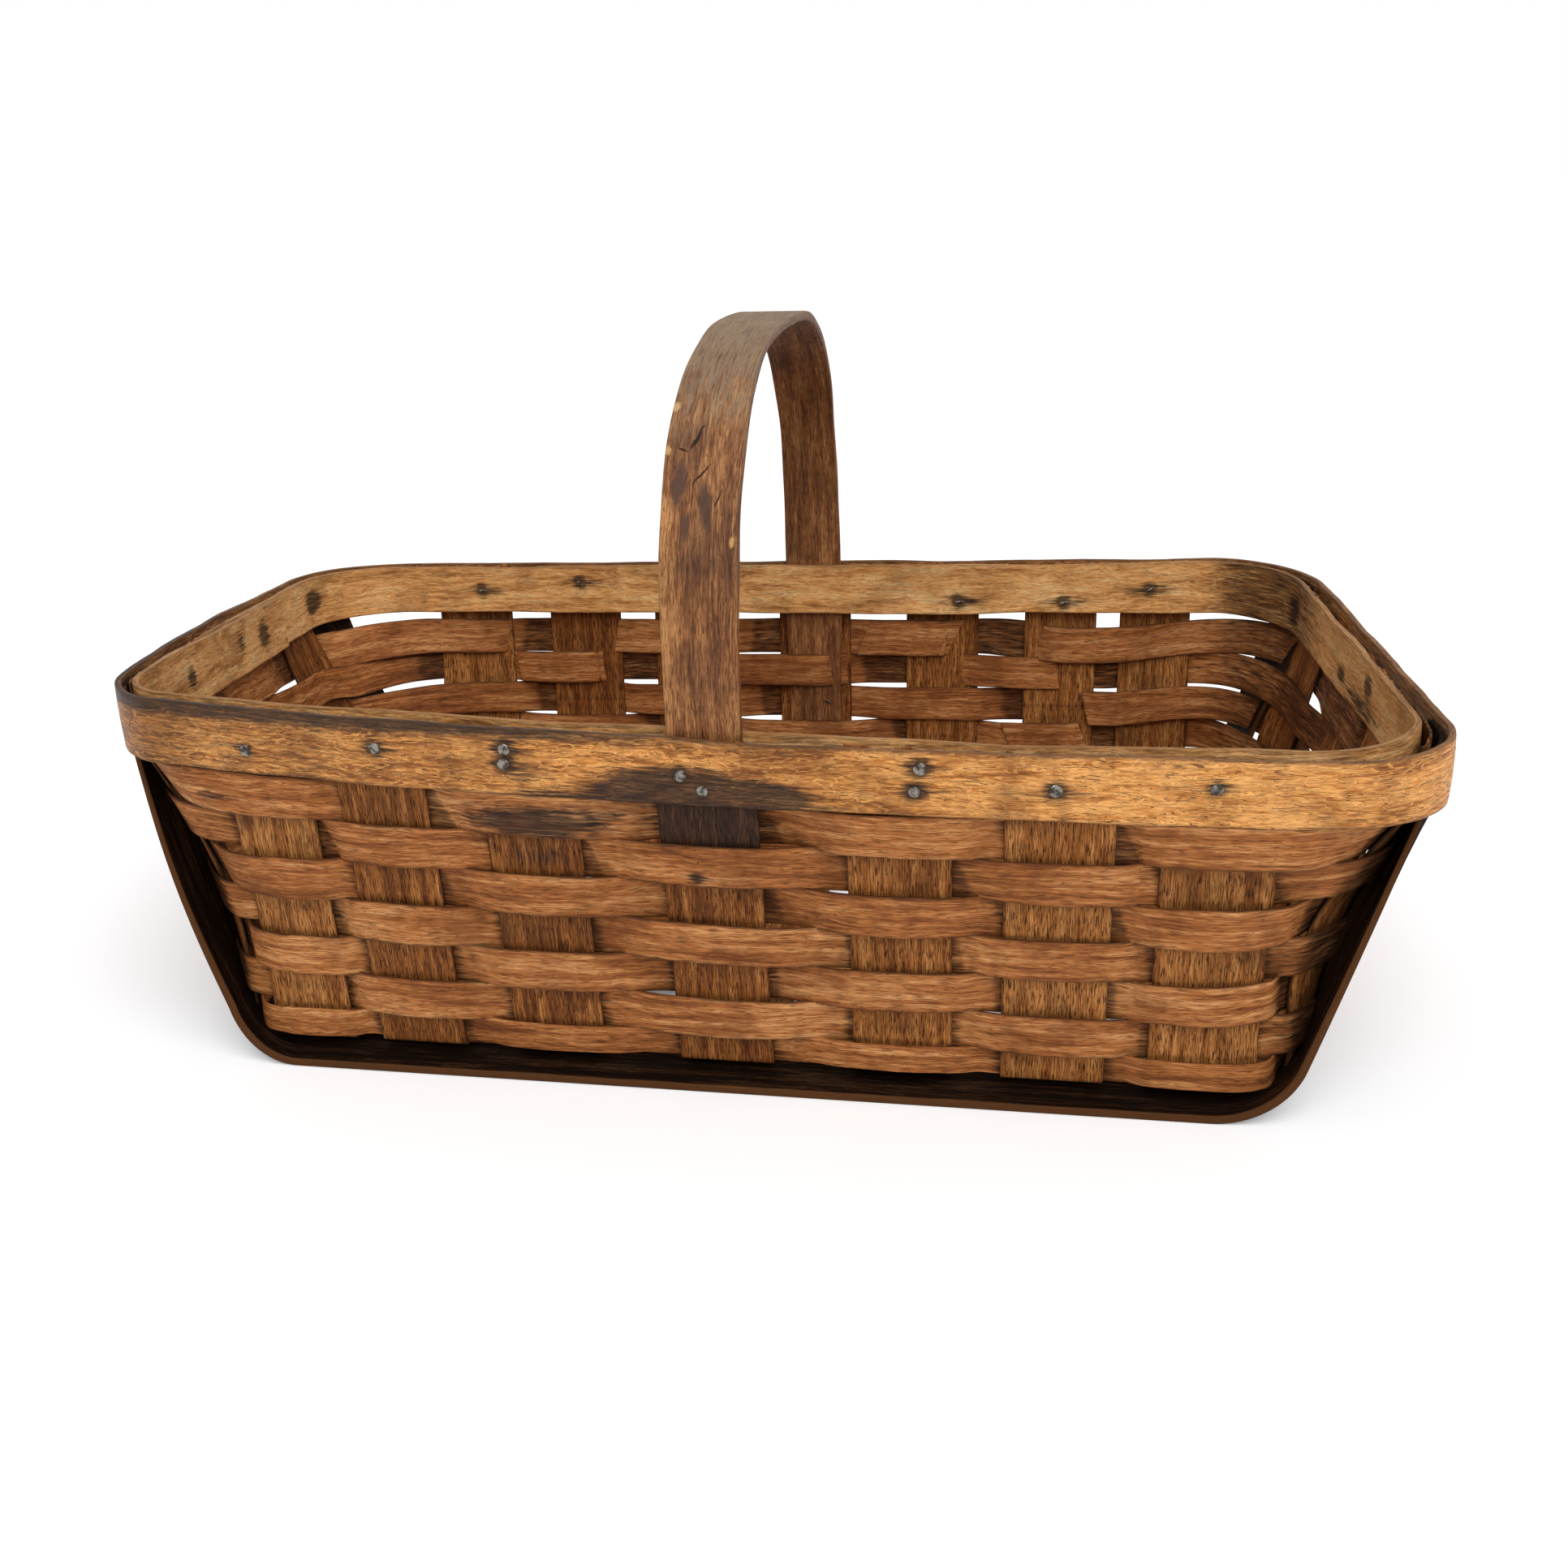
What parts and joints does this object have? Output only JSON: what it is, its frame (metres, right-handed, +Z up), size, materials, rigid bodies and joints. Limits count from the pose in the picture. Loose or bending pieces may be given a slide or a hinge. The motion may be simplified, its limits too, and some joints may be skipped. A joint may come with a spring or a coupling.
{
  "type": "splint gathering basket",
  "caption": "Oblong splint gathering basket: woven walls and base, a rim nailed between an outer and an inner band, a fixed bent handle and guard runners bent up outside its ends.",
  "frame": {"origin": "on the ground, under the middle of the whole basket's box", "axes": "+X along the basket to its right end, +Y from its front to its back, +Z up"},
  "size_m": [0.55, 0.292, 0.2876],
  "materials": {
    "outer_band_wood": "worn, honey brown with dark iron stains",
    "inner_band_wood": "worn, light tan",
    "stake_splint": "split splint, golden brown, streaked",
    "weaver_splint": "split splint, red brown, grained",
    "handle_wood": "grey brown, handled smooth",
    "runner_wood": "dark brown, scuffed"
  },
  "bodies": {
    "root": {"outer_rim": "outer_band_wood", "inner_rim": "inner_band_wood", "handle": "handle_wood", "cross_stake_1": "stake_splint", "cross_stake_2": "stake_splint", "cross_stake_3": "stake_splint", "cross_stake_4": "stake_splint", "cross_stake_5": "stake_splint", "cross_stake_6": "stake_splint", "cross_stake_7": "stake_splint", "long_stake_1": "stake_splint", "long_stake_2": "stake_splint", "long_stake_3": "stake_splint", "long_stake_4": "stake_splint", "weaver_1": "weaver_splint", "weaver_2": "weaver_splint", "weaver_3": "weaver_splint", "weaver_4": "weaver_splint", "weaver_5": "weaver_splint", "weaver_6": "weaver_splint", "weaver_7": "weaver_splint", "runner_front": "runner_wood", "runner_back": "runner_wood"}
  },
  "joints": []
}
